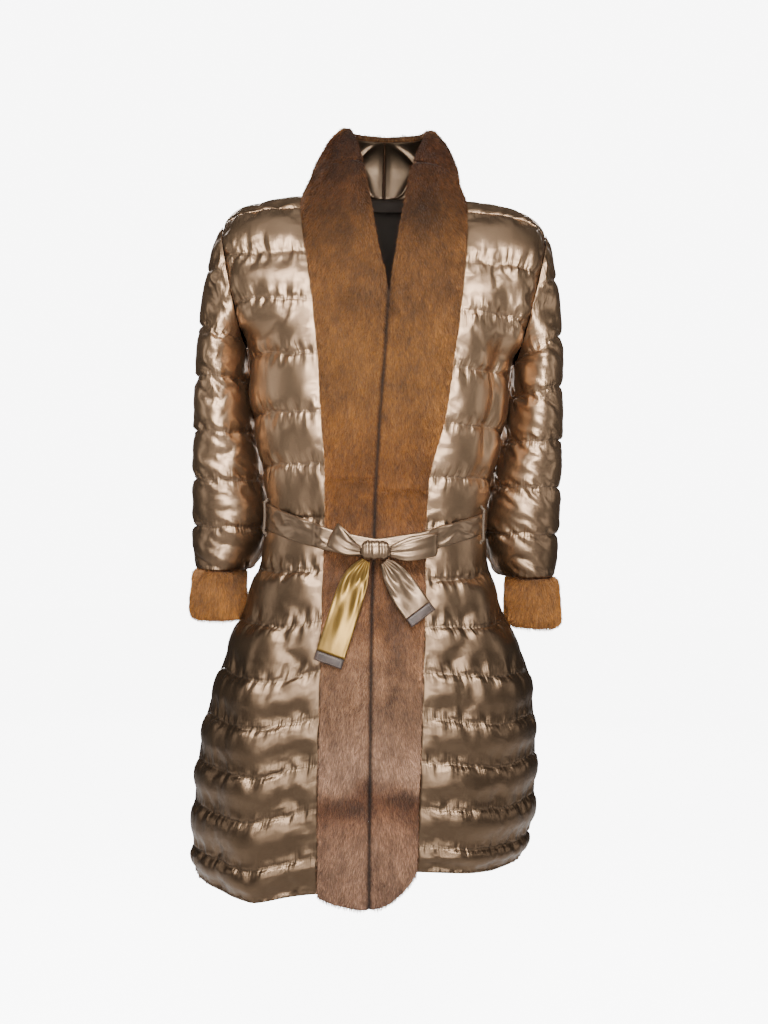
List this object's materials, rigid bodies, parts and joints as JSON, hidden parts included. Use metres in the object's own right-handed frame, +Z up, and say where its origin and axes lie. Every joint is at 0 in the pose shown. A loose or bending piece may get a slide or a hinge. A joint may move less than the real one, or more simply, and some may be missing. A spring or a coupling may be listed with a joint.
{
  "type": "belted down coat",
  "caption": "Knee-length quilted down coat with a fur shawl collar, fur front edges, fur cuffs and a tied cloth belt, holding the hollow form of a worn coat.",
  "frame": {"origin": "the point midway between the two neck points of the shoulders, where the wearer's shoulders carry the coat", "axes": "+Z up, the front faces -Y, the wearer's left side is at +X"},
  "size_m": [0.5633, 0.3402, 1.1064],
  "materials": {
    "down_cloth": "satin down cloth",
    "fur": "sheared fur",
    "belt_cloth": "matte woven cloth",
    "belt_satin": "satin",
    "collar_lining": "satin lining",
    "tip_leather": "smooth"
  },
  "bodies": {
    "root": {"front_right": "down_cloth", "front_left": "down_cloth", "back": "down_cloth", "sleeve_right": "down_cloth", "sleeve_left": "down_cloth", "cuff_right": "fur", "cuff_left": "fur", "fur_facing_right": "fur", "fur_facing_left": "fur", "fur_lapel_right": "fur", "fur_lapel_left": "fur", "fur_collar": "fur", "collar_lining_right": "collar_lining", "collar_lining_left": "collar_lining", "neck_tape": "collar_lining", "belt_band": "belt_cloth", "belt_knot": "belt_cloth", "belt_loop_right": "belt_cloth", "belt_loop_left": "belt_cloth", "belt_end_left": "belt_cloth", "belt_carrier_right": "belt_cloth", "belt_carrier_left": "belt_cloth", "belt_end_right": "belt_satin", "belt_tip_right": "tip_leather", "belt_tip_left": "tip_leather"}
  },
  "joints": []
}
